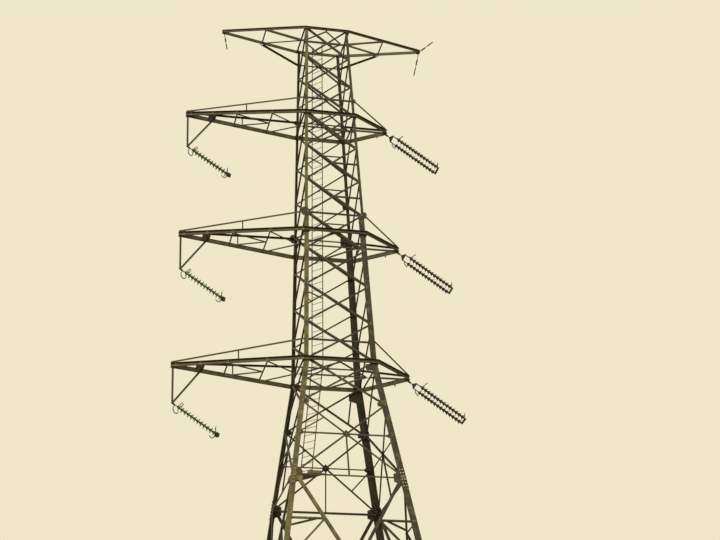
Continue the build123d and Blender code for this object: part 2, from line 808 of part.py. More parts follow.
# Insulator sets: single strings under the left tips, paired strings under the right tips
for name in tie_levels:
    pin_x, pin_z = left_pin(arms[name])
    pin = Vector(pin_x, 0, pin_z)
    heading = set_axis(left_lean)
    string_end = left_start + left_discs * disc_pitch
    with BuildPart() as fittings:
        add(clevis(pin, heading))
        add(stem(pin, heading, clevis_length, left_start, stem_radius))
        add(stem(pin, heading, string_end, string_end + end_length, stem_radius))
        add(line_clamp(pin, heading, string_end + end_length, clamp_length, clamp_radius))
    save(fittings.part, f"fittings_{name}_left")
    save(disc_string(pin, heading, left_start, left_discs), f"insulators_{name}_left")

    pin_x, pin_z = right_pin(arms[name])
    pin = Vector(pin_x, 0, pin_z)
    heading = set_axis(right_lean)
    half_yoke = string_spread / 2 + yoke_margin
    string_end = right_start + right_discs * disc_pitch
    yoke_start = yoke_place - yoke_height
    with BuildPart() as fittings:
        add(clevis(pin, heading))
        add(stem(pin, heading, clevis_length, yoke_start, stem_radius))
        add(yoke(pin, heading, [
            (-yoke_nose, yoke_start - yoke_nose), (yoke_nose, yoke_start - yoke_nose),
            (half_yoke, yoke_place - yoke_nose), (half_yoke, yoke_place),
            (-half_yoke, yoke_place), (-half_yoke, yoke_place - yoke_nose),
        ]))
        for side in (-string_spread / 2, string_spread / 2):
            add(stem(pin, heading, yoke_place, right_start, stem_radius, side))
        add(yoke(pin, heading, [
            (-half_yoke, string_end), (half_yoke, string_end),
            (half_yoke, string_end + end_bar), (-half_yoke, string_end + end_bar),
        ]))
        add(line_clamp(pin, heading, string_end + end_bar, 2 * half_yoke, right_clamp_radius))
    save(fittings.part, f"fittings_{name}_right")
    with BuildPart() as strings:
        for side in (-string_spread / 2, string_spread / 2):
            add(disc_string(pin, heading, right_start, right_discs, side))
    save(strings.part, f"insulators_{name}_right")

# Plan bracing across the corners of the base section, seated on the lips of its level bars
base_face = Face(0, lower_slope, foot_plate, base_top, lower_lip, "lower")
base_joint = base_face.crossing(foot_node, base_gauge)
upper_spot = base_gauge + upper_share * (base_joint - base_gauge)
lower_spot = foot_node + 0.68 * (base_joint - foot_node)
with BuildPart() as hip_bracing:
    for spot, reach in ((upper_spot, upper_hip_end), (lower_spot, lower_hip_end)):
        seat = spot - (thin_brace / 2 - brace_wall) / base_face.rise - lower_slope * brace_wall + fit_gap
        edge = half_width(seat + brace_wall) - leg_wall - brace_wall * base_face.rise - fit_gap
        hip = ((-edge, -reach), (-reach, -edge))
        with BuildSketch(Plane.XY.offset(seat)):
            Polygon(*strip(*hip, thin_brace), align=None)
            Rectangle(2 * edge, 2 * edge, mode=Mode.INTERSECT)
        extrude(amount=brace_wall)
        with BuildSketch(Plane.XY.offset(seat)):
            Polygon(*strip(*hip, brace_wall, (thin_brace - brace_wall) / 2), align=None)
            Rectangle(2 * (edge - lower_lip), 2 * (edge - lower_lip), mode=Mode.INTERSECT)
        extrude(amount=thin_brace)
    mirror(about=Plane.XZ)
    mirror(about=Plane.YZ)
save(hip_bracing.part, "hip_bracing")


def wire_fitting(x, sideways, along):
    """Lug under the top arm with a link, a turnbuckle and a clamp pulled along the wire."""
    top = arms["top"].bottom - fit_gap
    start = Vector(x, 0, top - lug_drop / 2)
    heading = Vector(sideways, along, 0)
    reach = heading.length
    heading = heading.normalized()
    stages = [
        (0, reach, link_radius), (0.3 * reach, 0.5 * reach, turnbuckle_radius),
        (0.66 * reach, reach, wire_clamp_radius),
    ]
    with BuildPart() as fitting:
        with BuildSketch(Plane.XY.offset(top)):
            with Locations((x, 0)):
                Rectangle(lug_width, hanger_wall)
        extrude(amount=-lug_drop)
        for near, far, radius in stages:
            with BuildSketch(Plane(origin=start + heading * near, x_dir=(0, 0, 1), z_dir=heading)):
                RegularPolygon(radius=radius, side_count=8)
            extrude(amount=far - near)
    return fitting.part


# Fittings that hold the earth wires at the ends of the top arm
with BuildPart() as earth_wire_fittings:
    for x, sideways, along in earth_wires:
        add(wire_fitting(x, sideways, along))
save(earth_wire_fittings.part, "earth_wire_fittings")
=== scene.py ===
import bpy
import bmesh
import math
from mathutils import Matrix, Vector


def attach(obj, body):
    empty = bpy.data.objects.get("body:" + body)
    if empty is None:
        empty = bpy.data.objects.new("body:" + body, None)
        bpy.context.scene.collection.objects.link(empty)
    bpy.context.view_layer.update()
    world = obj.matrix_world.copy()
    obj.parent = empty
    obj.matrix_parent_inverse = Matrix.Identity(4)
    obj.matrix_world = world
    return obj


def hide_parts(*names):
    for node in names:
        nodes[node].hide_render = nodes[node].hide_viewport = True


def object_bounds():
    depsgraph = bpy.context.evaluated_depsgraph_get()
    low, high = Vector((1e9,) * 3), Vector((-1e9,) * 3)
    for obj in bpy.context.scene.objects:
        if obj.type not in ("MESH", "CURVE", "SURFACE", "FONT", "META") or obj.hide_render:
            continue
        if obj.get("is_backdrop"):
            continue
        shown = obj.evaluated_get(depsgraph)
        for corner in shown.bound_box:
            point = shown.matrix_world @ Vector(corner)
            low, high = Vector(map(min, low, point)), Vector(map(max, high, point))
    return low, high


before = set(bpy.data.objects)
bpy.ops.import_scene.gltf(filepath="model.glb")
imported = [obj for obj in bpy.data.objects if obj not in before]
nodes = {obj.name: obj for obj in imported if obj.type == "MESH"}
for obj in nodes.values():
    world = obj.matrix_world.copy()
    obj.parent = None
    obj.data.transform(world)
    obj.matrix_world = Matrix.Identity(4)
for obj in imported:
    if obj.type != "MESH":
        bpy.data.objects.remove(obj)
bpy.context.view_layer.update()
scene = bpy.context.scene
print("frame loaded:", len(nodes), "nodes")


def linear(hexColour):  # sRGB hex to the linear colour that shaders take
    channels = [int(hexColour[i:i + 2], 16) / 255 for i in (1, 3, 5)]
    return tuple(c / 12.92 if c <= 0.04045 else ((c + 0.055) / 1.055) ** 2.4 for c in channels) + (1.0,)


def addNode(tree, kind, settings=None, inputs=None):  # one node with its settings, input values and links
    node = tree.nodes.new(kind)
    for name, value in (settings or {}).items():
        setattr(node, name, value)
    for name, value in (inputs or {}).items():
        if isinstance(value, bpy.types.NodeSocket):
            tree.links.new(value, node.inputs[name])
        else:
            node.inputs[name].default_value = value
    return node


def fillRamp(ramp, stops):
    while len(ramp.elements) < len(stops):
        ramp.elements.new(0.5)
    for element, (place, colour) in zip(ramp.elements, stops):
        element.position = place
        element.color = linear(colour)


# Hot-dip galvanised angle, weathered for decades: a dull zinc skin with brown staining, so the
# steel looks olive brown and scatters light. Faces that point downwards are darkened with painted
# shade. Sizes are in metres. Real grit is finer than this one, and wouldn't show.
legLook = {
    "shade": "#352c10", "middle": "#5f5424", "light": "#82773a", "rust": "#4a2f10", "paintedShade": "#1f1809",
    "patchSize": 0.28, "streakSize": 0.05, "gritSize": 0.016, "metallic": 0.12, "roughness": 0.66,
}
# The front right leg: a darker copy of the leg steel, with paler patches
patchyLook = {**legLook, "shade": "#171206", "middle": "#2e270d", "light": "#655d2b", "patchSize": 0.2}
# Painted shade: a nearly black copy of the leg steel for parts in shade, most at the back and on the right
shadedLook = {**legLook, "shade": "#191307", "middle": "#2d240d", "light": "#4d431b"}
# The crossarms' channels get painted shadow below their upper lips, in bands where the lips cast shade:
# each place is the level of its middle and half its height
channelLook = {
    **legLook, "shade": "#2b240d", "middle": "#4d441b", "light": "#6d632d",
    "lipShadow": [(26.163, 0.024), (20.543, 0.024), (14.883, 0.024), (30.468, 0.018)],
}
# Painted shade: the bracing angles get a dark brown copy of the steel, for the shade on bars seen from
# below
braceLook = {
    "shade": "#1f1707", "middle": "#372c0e", "light": "#54471b", "rust": "#3f270d", "paintedShade": "#151005",
    "patchSize": 0.4, "streakSize": 0.04, "gritSize": 0.014, "metallic": 0.1, "roughness": 0.7,
}
# Forged and galvanised line fittings: the same zinc skin, darker and a little smoother
fittingLook = {
    "shade": "#1d170b", "middle": "#2a2212", "light": "#3e351d", "rust": "#3a220f", "paintedShade": "#140f07",
    "patchSize": 0.08, "streakSize": 0.02, "gritSize": 0.012, "metallic": 0.3, "roughness": 0.52,
}
# Bolts, nuts and washers: spun galvanised, renewed now and then, so they are paler than the bars
boltLook = {
    "shade": "#6c6238", "middle": "#958a58", "light": "#b3a974", "rust": "#5f3f1d", "paintedShade": "#2b2312",
    "patchSize": 0.12, "streakSize": 0.02, "gritSize": 0.012, "metallic": 0.3, "roughness": 0.5,
}
# Painted highlight: the front right leg's splice bolts get a near white bolt steel, for rows catching light
paintedHighlightBoltLook = {**boltLook, "shade": "#a39d78", "middle": "#c9c4a2", "light": "#e6e2cb"}
# How the marks lie on all of them: the noise values at which tones, rust and roughness stand, how far
# down a face looks before its painted shade starts, and how strong each mark gets
steelMarks = {
    "shadeAt": 0.32, "middleAt": 0.52, "lightAt": 0.72, "streakSqueeze": 0.12,
    "rustFrom": 0.54, "rustFull": 0.72, "rustShare": 0.6,
    "paintedShadeFrom": -0.25, "paintedShadeFull": -0.8, "paintedShadeShare": 0.85,
    "lipShadowFull": 0.6, "lipShadowShare": 0.8, "smoothAt": 0.3, "roughAt": 0.7,
    "smoother": 0.1, "rougher": 0.14, "gritStrength": 0.25, "gritDepth": 0.002,
}


def addLipShadow(tree, place, colour, look):  # painted shadow in level bands, fading at their edges
    height = addNode(tree, "ShaderNodeSeparateXYZ", inputs={"Vector": place.outputs["Object"]})
    for level, half in look["lipShadow"]:
        away = addNode(tree, "ShaderNodeMath", {"operation": "SUBTRACT"}, {
            0: height.outputs["Z"], 1: level})
        size = addNode(tree, "ShaderNodeMath", {"operation": "ABSOLUTE"}, {0: away.outputs["Value"]})
        band = addNode(tree, "ShaderNodeMapRange", inputs={
            "Value": size.outputs["Value"], "From Min": half,
            "From Max": half * steelMarks["lipShadowFull"],
            "To Min": 0.0, "To Max": steelMarks["lipShadowShare"]})
        shadowed = addNode(tree, "ShaderNodeMix", {"data_type": "RGBA"}, {
            "Factor": band.outputs["Result"], 6: colour, 7: linear(look["paintedShade"])})
        colour = shadowed.outputs[2]
    return colour


def makeSteel(name, look):
    material = bpy.data.materials.new(name)
    material.use_nodes = True
    tree = material.node_tree
    shader = tree.nodes["Principled BSDF"]
    place = addNode(tree, "ShaderNodeTexCoord")
    patches = addNode(tree, "ShaderNodeTexNoise", inputs={
        "Vector": place.outputs["Object"], "Scale": 1 / look["patchSize"], "Detail": 5.0, "Roughness": 0.6})
    tones = addNode(tree, "ShaderNodeValToRGB", inputs={"Fac": patches.outputs["Fac"]})
    fillRamp(tones.color_ramp, [
        (steelMarks["shadeAt"], look["shade"]), (steelMarks["middleAt"], look["middle"]),
        (steelMarks["lightAt"], look["light"])])
    # rust runs downwards, so its streaks are eight times as long as they are wide
    squeezed = addNode(tree, "ShaderNodeMapping", inputs={
        "Vector": place.outputs["Object"], "Scale": (1.0, 1.0, steelMarks["streakSqueeze"])})
    streaks = addNode(tree, "ShaderNodeTexNoise", inputs={
        "Vector": squeezed.outputs["Vector"], "Scale": 1 / look["streakSize"],
        "Detail": 3.0, "Roughness": 0.7})
    stain = addNode(tree, "ShaderNodeMapRange", inputs={
        "Value": streaks.outputs["Fac"], "From Min": steelMarks["rustFrom"],
        "From Max": steelMarks["rustFull"], "To Min": 0.0, "To Max": steelMarks["rustShare"]})
    stained = addNode(tree, "ShaderNodeMix", {"data_type": "RGBA"}, {
        "Factor": stain.outputs["Result"], 6: tones.outputs["Color"], 7: linear(look["rust"])})
    # painted shade: faces that point downwards darken towards the painted shade colour
    facing = addNode(tree, "ShaderNodeNewGeometry")
    parts = addNode(tree, "ShaderNodeSeparateXYZ", inputs={"Vector": facing.outputs["True Normal"]})
    under = addNode(tree, "ShaderNodeMapRange", inputs={
        "Value": parts.outputs["Z"], "From Min": steelMarks["paintedShadeFrom"],
        "From Max": steelMarks["paintedShadeFull"], "To Min": 0.0, "To Max": steelMarks["paintedShadeShare"]})
    shadedUnderside = addNode(tree, "ShaderNodeMix", {"data_type": "RGBA"}, {
        "Factor": under.outputs["Result"], 6: stained.outputs[2], 7: linear(look["paintedShade"])})
    colour = shadedUnderside.outputs[2]
    # painted shadow below the channels' upper lips
    if "lipShadow" in look:
        colour = addLipShadow(tree, place, colour, look)
    tree.links.new(colour, shader.inputs["Base Color"])
    rough = addNode(tree, "ShaderNodeMapRange", inputs={
        "Value": patches.outputs["Fac"],
        "From Min": steelMarks["smoothAt"], "From Max": steelMarks["roughAt"],
        "To Min": look["roughness"] - steelMarks["smoother"],
        "To Max": look["roughness"] + steelMarks["rougher"]})
    tree.links.new(rough.outputs["Result"], shader.inputs["Roughness"])
    shader.inputs["Metallic"].default_value = look["metallic"]
    grit = addNode(tree, "ShaderNodeTexNoise", inputs={
        "Vector": place.outputs["Object"], "Scale": 1 / look["gritSize"], "Detail": 2.0})
    bump = addNode(tree, "ShaderNodeBump", inputs={
        "Height": grit.outputs["Fac"], "Strength": steelMarks["gritStrength"],
        "Distance": steelMarks["gritDepth"]})
    tree.links.new(bump.outputs["Normal"], shader.inputs["Normal"])
    return material


legSteel = makeSteel("weatheredGalvanisedSteel", legLook)
channelSteel = makeSteel("weatheredChannelSteel", channelLook)
patchySteel = makeSteel("patchyGalvanisedSteel", patchyLook)
shadedSteel = makeSteel("shadedGalvanisedSteel", shadedLook)
braceSteel = makeSteel("shadedBracingSteel", braceLook)
forgedSteel = makeSteel("forgedGalvanisedFittings", fittingLook)
spunGalvanised = makeSteel("spunGalvanisedBolts", boltLook)
paintedHighlightZinc = makeSteel("paintedHighlightZincBolts", paintedHighlightBoltLook)

# Dust on glass and glaze: the noise values it runs between, and how much rougher it makes the surface
dustMarks = {"deepAt": 0.35, "colourAt": 0.68, "dustFrom": 0.4, "dustFull": 0.75, "rougher": 0.25}


def makeGlaze(name, look):
    material = bpy.data.materials.new(name)
    material.use_nodes = True
    tree = material.node_tree
    shader = tree.nodes["Principled BSDF"]
    place = addNode(tree, "ShaderNodeTexCoord")
    dust = addNode(tree, "ShaderNodeTexNoise", inputs={
        "Vector": place.outputs["Object"], "Scale": 1 / look["dustSize"], "Detail": 4.0})
    tones = addNode(tree, "ShaderNodeValToRGB", inputs={"Fac": dust.outputs["Fac"]})
    fillRamp(tones.color_ramp, [
        (dustMarks["deepAt"], look["deep"]), (dustMarks["colourAt"], look["colour"])])
    tree.links.new(tones.outputs["Color"], shader.inputs["Base Color"])
    dusty = addNode(tree, "ShaderNodeMapRange", inputs={
        "Value": dust.outputs["Fac"],
        "From Min": dustMarks["dustFrom"], "From Max": dustMarks["dustFull"],
        "To Min": look["roughness"], "To Max": look["roughness"] + dustMarks["rougher"]})
    tree.links.new(dusty.outputs["Result"], shader.inputs["Roughness"])
    shader.inputs["IOR"].default_value = look["ior"]
    shader.inputs["Transmission Weight"].default_value = look["transmission"]
    shader.inputs["Coat Weight"].default_value = look["coat"]
    return material


# Toughened glass, pressed and tempered: bottle green where it is thick, with the sky through it
greenGlass = makeGlaze("toughenedGreenGlass", {
    "colour": "#649f30", "deep": "#3f721c", "dustSize": 0.11, "roughness": 0.12, "ior": 1.52,
    "transmission": 0.35, "coat": 0.0})
# Electrical porcelain under a brown glaze: nearly black with sharp highlights
brownGlaze = makeGlaze("brownGlazedPorcelain", {
    "colour": "#3a2712", "deep": "#211409", "dustSize": 0.11, "roughness": 0.18, "ior": 1.52,
    "transmission": 0.0, "coat": 0.4})

# The steel of each node, by how its name starts: the first start that fits counts
# Legs and bars that stand in shade get the nearly black and dark brown copies of the steel: painted shade
finishes = {
    "bracing_back": shadedSteel, "leg_back": shadedSteel, "leg_front_right": patchySteel,
    "bracing_front_base_left": legSteel, "bracing_front_base_right": shadedSteel, "hip": shadedSteel,
    "bracing_front_upper": shadedSteel, "bracing_right": shadedSteel, "crossarm": channelSteel,
    "fittings": forgedSteel, "earth": forgedSteel, "bracing": braceSteel,
    "knee": braceSteel, "ties": braceSteel, "tip": braceSteel, "ladder": braceSteel,
}
for name, node in nodes.items():
    matches = [finish for start, finish in finishes.items() if name.startswith(start)]
    node.data.materials.clear()
    node.data.materials.append(matches[0] if matches else legSteel)
print("materials assigned")

seamGap = 0.00002  # corners nearer than this are one corner


def toMesh(name, bm):  # closes seams and poles, turns the faces outwards and frees the bmesh
    bmesh.ops.remove_doubles(bm, verts=bm.verts, dist=seamGap)
    bmesh.ops.recalc_face_normals(bm, faces=bm.faces)
    mesh = bpy.data.meshes.new(name)
    bm.to_mesh(mesh)
    bm.free()
    return mesh


def addCopy(bm, mesh, place):
    copy = mesh.copy()
    copy.transform(place)
    bm.from_mesh(copy)
    bpy.data.meshes.remove(copy)


def finishMesh(name, bm, material, body, smooth=False):
    mesh = toMesh(name, bm)
    piece = bpy.data.objects.new(name, mesh)
    scene.collection.objects.link(piece)
    mesh.materials.append(material)
    mesh.polygons.foreach_set("use_smooth", [smooth] * len(mesh.polygons))
    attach(piece, body)
    return piece


# The tower's levels, half widths and leg flanges in metres, the same as the model's, and its number of
# panels from the waist to the shoulder, from there to the upper arm and from there to the head
tower = {
    "footPlate": 0.03, "footNode": 0.26, "lowestBar": 9.93, "crossFoot": 9.95, "baseGauge": 10.07,
    "middleNode": 12.97, "waist": 14.83, "shoulder": 21.3, "upperChord": 26.11, "head": 30.43,
    "halfAtFoot": 3.58, "halfAtWaist": 1.4, "halfAtHead": 0.91, "nodeGauge": 0.07,
    "leftLower": 0.18, "rightLower": 0.25, "leftMid": 0.15, "rightMid": 0.23, "headLeg": 0.11,
    "panels": (4, 3, 3),
}
arms = {
    "upper": {"level": 26.11, "left": 5.85, "right": 2.65, "depth": 0.16},
    "middle": {"level": 20.49, "left": 6.07, "right": 2.89, "depth": 0.16},
    "lower": {"level": 14.83, "left": 6.29, "right": 3.04, "depth": 0.16},
}
topArm = {"level": 30.43, "left": 4.35, "right": 4.35, "depth": 0.12}
sideTurns = {"front": 0, "right": 90, "back": 180, "left": 270}


def halfWidth(z):
    if z < tower["waist"]:
        low, high = tower["footPlate"], tower["waist"]
        wide, narrow = tower["halfAtFoot"], tower["halfAtWaist"]
    else:
        low, high = tower["waist"], tower["head"]
        wide, narrow = tower["halfAtWaist"], tower["halfAtHead"]
    return wide + (narrow - wide) * (z - low) / (high - low)


def legFlange(side, hand, z):  # the right-hand legs are made of wider angle than the left-hand ones
    rightLeg = {"front": hand > 0, "right": True, "back": hand < 0, "left": False}[side]
    if z > tower["shoulder"]:
        return tower["headLeg"]
    if z > tower["waist"]:
        return tower["rightMid"] if rightLeg else tower["leftMid"]
    return tower["rightLower"] if rightLeg else tower["leftLower"]


# Place on one side of the body: x along the side, y up it, z outwards from the legs' outer faces
def sidePlace(side, x, level, proud=0.0):
    turn = math.radians(sideTurns[side])
    along = Vector((math.cos(turn), math.sin(turn), 0))
    outward = Vector((math.sin(turn), -math.cos(turn), 0))
    step = 0.01
    slope = (halfWidth(level - step) - halfWidth(level + step)) / (2 * step)
    normal = (outward + Vector((0, 0, slope))).normalized()
    spot = outward * halfWidth(level) + along * x + Vector((0, 0, level)) + normal * proud
    turned = Matrix((along, normal.cross(along), normal)).transposed()
    return Matrix.Translation(spot) @ turned.to_4x4()


# Hexagon bolts, true to M20 and M24: washer and head outside, nut and thread end inside
boltSizes = {
    "M20": {
        "head": 0.0173, "headHeight": 0.0125, "washer": 0.0185, "washerHeight": 0.003, "thread": 0.01,
    },
    "M24": {
        "head": 0.0208, "headHeight": 0.015, "washer": 0.022, "washerHeight": 0.004, "thread": 0.012,
    },
}
hexagon, roundSides = 6, 12


def addCylinder(bm, radius, sides, low, high):
    bmesh.ops.create_cone(bm, cap_ends=True, segments=sides, radius1=radius, radius2=radius,
                          depth=high - low, matrix=Matrix.Translation((0, 0, (low + high) / 2)))


def boltMesh(size, grip):  # few faces, because it is repeated hundreds of times
    bolt = boltSizes[size]
    washerTop = bolt["washerHeight"]
    nutLow = -grip - bolt["headHeight"]
    bm = bmesh.new()
    addCylinder(bm, bolt["washer"], roundSides, 0.0, washerTop)
    addCylinder(bm, bolt["head"], hexagon, washerTop, washerTop + bolt["headHeight"])
    addCylinder(bm, bolt["head"], hexagon, nutLow, -grip)
    addCylinder(bm, bolt["thread"], hexagon, nutLow - bolt["thread"], nutLow)
    return toMesh("bolt", bm)


legWall, braceWall = 0.016, 0.008
lyingOnSide = Matrix.Rotation(math.radians(90), 4, "X")
legBolt, flatBolt = boltMesh("M20", legWall + braceWall), boltMesh("M20", braceWall)

# Bolts of the bars: the first one and the pitch along a bar, the leg flange above which a diagonal has
# two, and how many a level bar and a heavy diagonal of the base have
bolting = {"firstFromEnd": 0.028, "pitch": 0.05, "flangeForTwo": 0.14, "levelBar": 2, "baseDiagonal": 3}


def boltBarEnd(bm, side, start, end, count):  # bolts along a bar, inwards from its end on a leg
    run = math.hypot(end[0] - start[0], end[1] - start[1])
    for index in range(count):
        share = (bolting["firstFromEnd"] + index * bolting["pitch"]) / run
        x = start[0] + (end[0] - start[0]) * share
        level = start[1] + (end[1] - start[1]) * share
        addCopy(bm, legBolt, sidePlace(side, x, level))


def gauge(hand, level):  # gauge point at a level, on the leg at hand -1 or 1
    return hand * (halfWidth(level) - tower["nodeGauge"]), level


def crossingLevel(low, high):  # where the two diagonals of a panel cross
    a, b = halfWidth(low) - tower["nodeGauge"], halfWidth(high) - tower["nodeGauge"]
    return low + (high - low) * a / (a + b)


def boltCrossing(bm, side, x, level):  # two flats bolted to each other, clear of the legs
    addCopy(bm, flatBolt, sidePlace(side, x, level, -legWall))


def boltPanel(bm, side, low, high):
    for hand in (-1, 1):
        for a, b in ((low, high), (high, low)):
            start, end = gauge(hand, a), gauge(-hand, b)
            two = legFlange(side, hand, a) > bolting["flangeForTwo"]
            boltBarEnd(bm, side, start, end, 2 if two else 1)
    boltCrossing(bm, side, 0.0, crossingLevel(low, high))


def panelLevels():
    stops = (tower["waist"], tower["shoulder"], tower["upperChord"], tower["head"])
    levels = [stops[0]]
    for low, high, count in zip(stops, stops[1:], tower["panels"]):
        levels += [low + (high - low) * step / count for step in range(1, count + 1)]
    return levels


def boltLevelBar(bm, side, level):
    for hand in (-1, 1):
        boltBarEnd(bm, side, gauge(hand, level), gauge(-hand, level), bolting["levelBar"])


bodyBolts = bmesh.new()
panels = panelLevels()
for side in sideTurns:
    for low, high in zip(panels, panels[1:]):
        boltPanel(bodyBolts, side, low, high)
    boltPanel(bodyBolts, side, tower["middleNode"], tower["waist"])
    boltPanel(bodyBolts, side, tower["crossFoot"], tower["middleNode"])
    boltLevelBar(bodyBolts, side, crossingLevel(tower["crossFoot"], tower["middleNode"]))
    boltLevelBar(bodyBolts, side, tower["lowestBar"])
finishMesh("bolts_body", bodyBolts, spunGalvanised, "tower")

# Bars of the base section: where they meet its diagonals, as shares of the way from the leg to the
# middle joint, and where the middle joint's plate is bolted
baseBars = {
    "upperShare": 0.51, "lowerShares": (0.68, 0.36), "plateReaches": (0.08, 0.16), "plateSlope": 1.1,
}
baseBolts = bmesh.new()
baseMeetings = [(tower["baseGauge"], baseBars["upperShare"])]
baseMeetings += [(tower["footNode"], share) for share in baseBars["lowerShares"]]
baseJoint = crossingLevel(tower["footNode"], tower["baseGauge"])
for side in sideTurns:
    centre = (0.0, baseJoint)
    for hand in (-1, 1):
        for level, share in baseMeetings:
            meeting = level + (baseJoint - level) * share
            boltCrossing(baseBolts, side, gauge(hand, level)[0] * (1 - share), meeting)
            boltBarEnd(baseBolts, side, gauge(hand, meeting), (0.0, meeting), bolting["levelBar"])
        for level in (tower["baseGauge"], tower["footNode"]):
            boltBarEnd(baseBolts, side, gauge(hand, level), centre, bolting["baseDiagonal"])
        boltBarEnd(baseBolts, side, gauge(hand, baseJoint), centre, bolting["levelBar"])
        for up in (-1, 1):  # four bolts of the middle joint plate in each half
            for reach in baseBars["plateReaches"]:
                rise = up * reach * baseBars["plateSlope"]
                boltCrossing(baseBolts, side, hand * reach, baseJoint + rise)
finishMesh("bolts_base", baseBolts, spunGalvanised, "tower")
print("bracing bolted")

# Splice plates over the legs, where two lengths of leg angle meet
splices = {"low": 9.53, "high": 10.33, "wall": 0.012, "edge": 0.025, "rows": 6, "bevel": 0.004}
plates = {"cornerShare": 0.12, "bevel": 0.002, "thinBevel": 0.001}


def addPlate(target, place, width, height, wall, bevel):  # plate on its place, corners cut, edges eased
    bm = bmesh.new()
    shape = Matrix.Translation((0, 0, wall / 2)) @ Matrix.Diagonal((width, height, wall, 1))
    bmesh.ops.create_cube(bm, size=1.0, matrix=shape)
    upright = [e for e in bm.edges if abs(e.verts[0].co.z - e.verts[1].co.z) > wall / 2]
    bmesh.ops.bevel(bm, geom=upright, offset=min(width, height) * plates["cornerShare"],
                    affect="EDGES", segments=1, profile=0.5, material=-1)
    # the edges round the outer face
    rim = [e for e in bm.edges if min(e.verts[0].co.z, e.verts[1].co.z) > wall * 0.9]
    bmesh.ops.bevel(bm, geom=rim, offset=bevel, affect="EDGES", segments=1, profile=0.5, material=-1)
    addCopy(target, toMesh("plate", bm), place)


spliceBolt = boltMesh("M24", splices["wall"] + legWall + braceWall)
# Painted shade on the back legs' splices, whose bolts take the dark fitting steel; painted highlight on the
# front right leg's bolts
spliceSteels = {
    "front_left": (legSteel, spunGalvanised),
    "front_right": (patchySteel, paintedHighlightZinc),
    "back": (shadedSteel, forgedSteel),
}
legLean = math.atan((tower["halfAtFoot"] - tower["halfAtWaist"]) / (tower["waist"] - tower["footPlate"]))
spliceLevel = (splices["low"] + splices["high"]) / 2
splicePlates = {legs: bmesh.new() for legs in spliceSteels}
spliceBolts = {legs: bmesh.new() for legs in spliceSteels}
for side in sideTurns:
    for hand in (-1, 1):
        flange = legFlange(side, hand, spliceLevel)
        x = hand * (halfWidth(spliceLevel) - flange / 2)
        place = sidePlace(side, x, spliceLevel) @ Matrix.Rotation(hand * legLean, 4, "Z")
        corner = place.translation
        legs = "back" if corner.y > 0 else "front_right" if corner.x > 0 else "front_left"
        width = flange - 2 * splices["edge"]
        height = splices["high"] - splices["low"]
        addPlate(splicePlates[legs], place, width, height, splices["wall"], splices["bevel"])
        for row in range(splices["rows"]):
            up = (row + 0.5) / splices["rows"] * height - height / 2
            for across in (-width / 4, width / 4):
                spot = place @ Matrix.Translation((across, up, splices["wall"]))
                addCopy(spliceBolts[legs], spliceBolt, spot)
for legs, (plateSteel, boltSteel) in spliceSteels.items():
    finishMesh(f"splices_{legs}", splicePlates[legs], plateSteel, "tower")
    finishMesh(f"bolts_{legs}_splices", spliceBolts[legs], boltSteel, "tower")

# Joint plates behind the bracing: side, hand of the leg, level of the middle, width and height
gussets = {
    "waistFrontRight": ("front", 1, 14.58, 0.44, 0.28),
    "shoulderBackRight": ("back", -1, 21.27, 0.42, 0.46),
    "panelBackRight": ("back", -1, 22.93, 0.24, 0.20),
    "panelFrontLeft": ("front", -1, 22.93, 0.20, 0.20),
}
gussetSetIn = 0.02  # from the leg's outer edge
gussetPlates = bmesh.new()
for side, hand, level, width, height in gussets.values():
    inside = legWall + 2 * braceWall
    x = hand * (halfWidth(level + height / 2) - width / 2 - gussetSetIn)
    place = sidePlace(side, x, level, -inside)
    addPlate(gussetPlates, place, width, height, braceWall, plates["bevel"])
finishMesh("gusset_plates", gussetPlates, braceSteel, "tower")
print("splices and gussets placed")

# Anchor studs through the sixteen holes of the foot plates: a washer plate, a nut and a lock nut
anchors = {
    "spacing": 0.46, "stud": 0.015, "washer": 0.035, "washerSides": 16, "nut": 0.0265, "rise": 0.105,
    "washerTop": 0.006, "nutTop": 0.03, "lockNutLow": 0.031, "lockNutTop": 0.047,
}
studs, oneStud = bmesh.new(), bmesh.new()
plateTop = tower["footPlate"]
addCylinder(oneStud, anchors["stud"], roundSides, 0.0, anchors["rise"])
addCylinder(oneStud, anchors["washer"], anchors["washerSides"], plateTop, plateTop + anchors["washerTop"])
for nutLow, nutHigh in (("washerTop", "nutTop"), ("lockNutLow", "lockNutTop")):
    addCylinder(oneStud, anchors["nut"], hexagon, plateTop + anchors[nutLow], plateTop + anchors[nutHigh])
stud = toMesh("stud", oneStud)
footCentre = tower["halfAtFoot"] - tower["leftLower"] / 2
holes = [sign * footCentre + half * anchors["spacing"] for sign in (-1, 1) for half in (-0.5, 0.5)]
for x in holes:
    for y in holes:
        addCopy(studs, stud, Matrix.Translation((x, y, 0)))
finishMesh("anchor_studs", studs, spunGalvanised, "tower")
print("anchor studs set")

# The channels of a crossarm: how far outside the body they bend, half the gap between them at a tip,
# and their wall
chords = {"bendOut": 0.03, "halfTipGap": 0.011, "wall": 0.008}


# Point on a chord's inner face, from the body to a tip: back is 1 for the back chord and -1 for the front
def chordPlace(arm, hand, back, share):
    half = halfWidth(arm["level"] - arm["depth"] / 2)
    bend = half + chords["bendOut"]
    reach = arm["left"] if hand < 0 else arm["right"]
    x = bend + share * (reach - bend)
    y = half + share * (chords["halfTipGap"] - half)
    return Vector((hand * x, back * y, arm["level"]))


